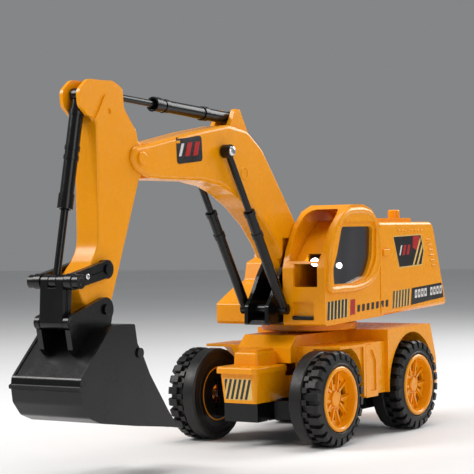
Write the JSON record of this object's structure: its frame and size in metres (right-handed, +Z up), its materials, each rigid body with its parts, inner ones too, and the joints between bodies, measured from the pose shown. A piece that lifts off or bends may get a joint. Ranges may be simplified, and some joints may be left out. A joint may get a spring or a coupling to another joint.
{
  "type": "toy wheeled excavator",
  "caption": "Toy wheeled excavator with a slewing house, two-part digging arm with dummy cylinders, curling bucket and steered front wheels.",
  "frame": {"origin": "on the ground under the middle of the toy's bounding box", "axes": "+Z up, -Y the way the toy faces (nose and bucket), +X its left-hand side, where the cab is"},
  "size_m": [0.1068, 0.368, 0.2064],
  "materials": {
    "yellow": "glossy orange-yellow moulded plastic",
    "black": "semi-gloss black moulded plastic",
    "tyre_rubber": "hard black tyre rubber",
    "steel": "bright plated steel",
    "white_nylon": "natural nylon",
    "smoked_pane": "smoked glossy pane",
    "cell_wrap": "plain printed sleeve",
    "board_green": "solder mask",
    "lamp_clear": "clear lamp body"
  },
  "bodies": {
    "chassis": {"chassis_tray": "black", "chassis_cover": "yellow", "battery_door": "black", "battery_cells": "cell_wrap", "battery_contacts": "steel", "drive_motor": "steel", "gearbox_case": "white_nylon", "axle_bushes": "white_nylon", "steering_motor": "black", "tray_screws": "steel"},
    "switch": {"power_switch": "black"},
    "rear_wheels": {"rear_axle": "steel", "rear_left_rim": "yellow", "rear_left_tyre": "tyre_rubber", "rear_right_rim": "yellow", "rear_right_tyre": "tyre_rubber"},
    "knuckle_left": {"left_knuckle": "black", "left_stub_axle": "steel"},
    "knuckle_right": {"right_knuckle": "black", "right_stub_axle": "steel"},
    "track_rod": {"tie_rod": "black"},
    "crank": {"steering_crank": "steel"},
    "wheel_front_left": {"front_left_rim": "yellow", "front_left_tyre": "tyre_rubber"},
    "wheel_front_right": {"front_right_rim": "yellow", "front_right_tyre": "tyre_rubber"},
    "house": {"turntable": "yellow", "centre_screw": "steel", "house_shell": "yellow", "house_floor": "yellow", "door_glass": "smoked_pane", "cab_bulkhead": "yellow", "lamp_holder": "black", "led_lamp": "lamp_clear", "driver_seat": "black", "step_bar": "black", "circuit_board": "board_green", "boom_bracket": "black", "bracket_pins": "black"},
    "boom": {"boom_left": "yellow", "boom_right": "yellow", "stick_pin": "yellow", "boom_pins": "black", "lift_head_screws": "steel"},
    "lift_tubes": {"lift_cylinder_tubes": "black"},
    "lift_rods": {"lift_cylinder_rods": "black"},
    "stick": {"stick_left": "yellow", "stick_right": "yellow", "stick_pins": "black"},
    "stick_tube": {"stick_cylinder_tube": "black"},
    "stick_rod": {"stick_cylinder_rod": "black"},
    "bucket_tube": {"bucket_cylinder_tube": "black"},
    "bucket_rod": {"bucket_cylinder_rod": "black"},
    "rocker": {"rocker_arms": "black", "cross_pin": "black", "rocker_screws": "steel"},
    "link": {"bucket_link": "black"},
    "bucket": {"bucket": "black", "link_pin": "black"}
  },
  "joints": [
    {"name": "power_switch_slide", "type": "slide", "parent": "chassis", "child": "switch", "axis": [1, 0, 0], "range_m": [-0.0024, 0.0024]},
    {"name": "rear_axle_spin", "type": "hinge", "parent": "chassis", "child": "rear_wheels", "pos_m": [0, 0.11675, 0.028], "axis": [1, 0, 0], "continuous": true},
    {"name": "steer_left", "type": "hinge", "parent": "chassis", "child": "knuckle_left", "pos_m": [0.029, 0.01875, 0.028], "axis": [0, 0, 1], "range_deg": [-12, 12]},
    {"name": "steer_right", "type": "hinge", "parent": "chassis", "child": "knuckle_right", "pos_m": [-0.029, 0.01875, 0.028], "axis": [0, 0, 1], "range_deg": [-12, 12]},
    {"name": "tie_rod_pivot", "type": "hinge", "parent": "knuckle_left", "child": "track_rod", "pos_m": [0.029, 0.03175, 0.022], "axis": [0, 0, 1], "range_deg": [-12, 12]},
    {"name": "steering_crank_turn", "type": "hinge", "parent": "chassis", "child": "crank", "pos_m": [0, 0.01875, 0.024], "axis": [0, 0, 1], "range_deg": [-12, 12]},
    {"name": "front_left_spin", "type": "hinge", "parent": "knuckle_left", "child": "wheel_front_left", "pos_m": [0.043, 0.01875, 0.028], "axis": [1, 0, 0], "continuous": true},
    {"name": "front_right_spin", "type": "hinge", "parent": "knuckle_right", "child": "wheel_front_right", "pos_m": [-0.043, 0.01875, 0.028], "axis": [1, 0, 0], "continuous": true},
    {"name": "slew", "type": "hinge", "parent": "chassis", "child": "house", "pos_m": [0, 0.07125, 0.064], "axis": [0, 0, 1], "range_deg": [-170, 170]},
    {"name": "boom_lift", "type": "hinge", "parent": "house", "child": "boom", "pos_m": [0, 0.04275, 0.11], "axis": [-1, 0, 0], "range_deg": [-3, 14]},
    {"name": "lift_tubes_swing", "type": "hinge", "parent": "house", "child": "lift_tubes", "pos_m": [0, 0.02025, 0.08], "axis": [-1, 0, 0], "range_deg": [-3, 13]},
    {"name": "lift_rods_swing", "type": "hinge", "parent": "boom", "child": "lift_rods", "pos_m": [0, -0.03675, 0.1725], "axis": [-1, 0, 0], "range_deg": [-2, 1]},
    {"name": "stick_swing", "type": "hinge", "parent": "boom", "child": "stick", "pos_m": [0, -0.11285, 0.1664], "axis": [-1, 0, 0], "range_deg": [-15, 18]},
    {"name": "stick_tube_swing", "type": "hinge", "parent": "boom", "child": "stick_tube", "pos_m": [0, -0.01525, 0.193], "axis": [-1, 0, 0], "range_deg": [-3, 3.2]},
    {"name": "stick_rod_swing", "type": "hinge", "parent": "stick", "child": "stick_rod", "pos_m": [0, -0.13125, 0.1995], "axis": [-1, 0, 0], "range_deg": [-15, 12.5]},
    {"name": "bucket_curl", "type": "hinge", "parent": "stick", "child": "bucket", "pos_m": [0, -0.14675, 0.088], "axis": [-1, 0, 0], "range_deg": [-15, 18]},
    {"name": "rocker_swing", "type": "hinge", "parent": "stick", "child": "rocker", "pos_m": [0, -0.14525, 0.1085], "axis": [-1, 0, 0], "range_deg": [-15, 18]},
    {"name": "link_swing", "type": "hinge", "parent": "rocker", "child": "link", "pos_m": [0, -0.17275, 0.103], "axis": [-1, 0, 0], "range_deg": [-18, 15]},
    {"name": "bucket_tube_swing", "type": "hinge", "parent": "stick", "child": "bucket_tube", "pos_m": [0, -0.15225, 0.198], "axis": [-1, 0, 0], "range_deg": [-1.65, 1.98]},
    {"name": "bucket_rod_swing", "type": "hinge", "parent": "rocker", "child": "bucket_rod", "pos_m": [0, -0.17275, 0.103], "axis": [-1, 0, 0], "range_deg": [-16.1, 13.4]}
  ],
  "couplings": [
    {"joint": "steer_right", "follows": "steer_left", "ratio": 1},
    {"joint": "tie_rod_pivot", "follows": "steer_left", "ratio": -1},
    {"joint": "steering_crank_turn", "follows": "steer_left", "ratio": 1},
    {"joint": "lift_tubes_swing", "follows": "boom_lift", "ratio": 0.86},
    {"joint": "lift_rods_swing", "follows": "boom_lift", "ratio": -0.14},
    {"joint": "stick_tube_swing", "follows": "stick_swing", "ratio": 0.168},
    {"joint": "stick_rod_swing", "follows": "stick_swing", "ratio": -0.832},
    {"joint": "rocker_swing", "follows": "bucket_curl", "ratio": 1},
    {"joint": "link_swing", "follows": "bucket_curl", "ratio": -1},
    {"joint": "bucket_tube_swing", "follows": "bucket_curl", "ratio": 0.109},
    {"joint": "bucket_rod_swing", "follows": "bucket_curl", "ratio": -0.891}
  ]
}
